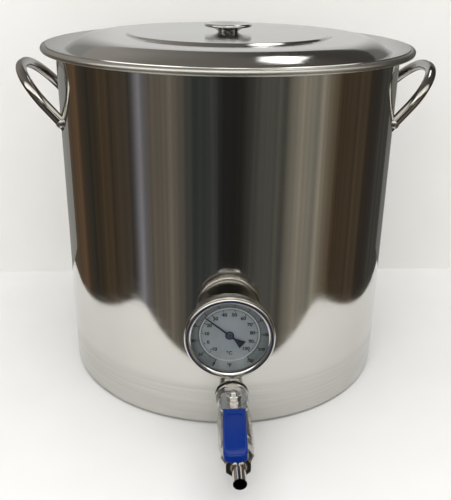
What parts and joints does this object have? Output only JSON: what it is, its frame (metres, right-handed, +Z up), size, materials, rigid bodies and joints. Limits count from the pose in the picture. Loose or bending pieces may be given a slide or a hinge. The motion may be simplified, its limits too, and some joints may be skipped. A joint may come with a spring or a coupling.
{
  "type": "brew kettle",
  "caption": "Tall stainless brew kettle with a nested lift-off lid, loop side handles, a dial thermometer and a lever ball valve with a plain hose tail.",
  "frame": {"origin": "centre of the base's underside, on the kettle's axis", "axes": "+Z up along the kettle's axis, -Y out of the tap, the handles at -X and +X"},
  "size_m": [0.446, 0.5166, 0.3791],
  "materials": {
    "kettle_steel": "polished sheet, fine brushing around the wall",
    "lid_steel": "polished slope, spun brushing on the top",
    "knob_steel": "polished",
    "rod_steel": "polished rod",
    "weld_steel": "dressed weld",
    "fitting_steel": "machined",
    "cast_steel": "cast, satin",
    "tail_steel": "turned, polished tube",
    "lever_steel": "pressed and tumbled",
    "ball_steel": "mirror polished",
    "case_steel": "brushed",
    "bezel_steel": "polished",
    "spindle_steel": "turned",
    "dial_enamel": "satin printed enamel",
    "pointer_black": "satin black",
    "lens_glass": "clear flat glass",
    "black_rubber": "matt",
    "silicone": "matt silicone",
    "ptfe": "waxy white",
    "bush_brass": "turned",
    "bimetal_strip": "rolled strip",
    "blue_vinyl": "dipped glossy vinyl"
  },
  "bodies": {
    "kettle": {"kettle_body": "kettle_steel", "left_handle": "rod_steel", "right_handle": "rod_steel", "left_handle_welds": "weld_steel", "right_handle_welds": "weld_steel", "thermo_outer_gasket": "silicone", "thermo_outer_washer": "fitting_steel", "thermo_inner_gasket": "silicone", "thermo_lock_nut": "fitting_steel", "thermo_connector": "fitting_steel", "thermo_probe": "fitting_steel", "thermo_bimetal_coil": "bimetal_strip", "thermo_case": "case_steel", "thermo_reset_screw": "fitting_steel", "thermo_spindle_bush": "bush_brass", "thermo_dial_plate": "dial_enamel", "thermo_lens_gasket": "black_rubber", "thermo_lens": "lens_glass", "thermo_bezel": "bezel_steel", "valve_outer_gasket": "silicone", "valve_outer_washer": "fitting_steel", "valve_bulkhead": "fitting_steel", "valve_inner_gasket": "silicone", "valve_lock_nut": "fitting_steel", "valve_end_cap": "cast_steel", "valve_body": "cast_steel", "valve_rear_seat": "ptfe", "valve_front_seat": "ptfe", "valve_stem_packing": "ptfe", "valve_gland_nut": "fitting_steel", "hose_tail": "tail_steel"},
    "tap_lever": {"valve_ball": "ball_steel", "valve_stem": "fitting_steel", "valve_lever": "lever_steel", "valve_spring_washer": "fitting_steel", "valve_lever_nut": "fitting_steel", "valve_lever_sleeve": "blue_vinyl"},
    "dial_pointer": {"thermo_pointer": "pointer_black", "thermo_spindle": "spindle_steel"},
    "lid": {"lid_shell": "lid_steel", "lid_knob": "knob_steel", "lid_knob_screw": "fitting_steel", "lid_knob_washer": "fitting_steel"}
  },
  "joints": [
    {"name": "lid_lift", "type": "slide", "parent": "kettle", "child": "lid", "axis": [0, 0, 1], "range_m": [0, 0.25]},
    {"name": "tap_lever_turn", "type": "hinge", "parent": "kettle", "child": "tap_lever", "pos_m": [0, -0.24, 0.034], "axis": [-0.0558, 0, 0.9984], "range_deg": [-87.9, 2.1]},
    {"name": "pointer_turn", "type": "hinge", "parent": "kettle", "child": "dial_pointer", "pos_m": [-0.00501, -0.20514, 0.1198], "axis": [0.0244, 0.9997, 0], "range_deg": [-104, 196]}
  ]
}
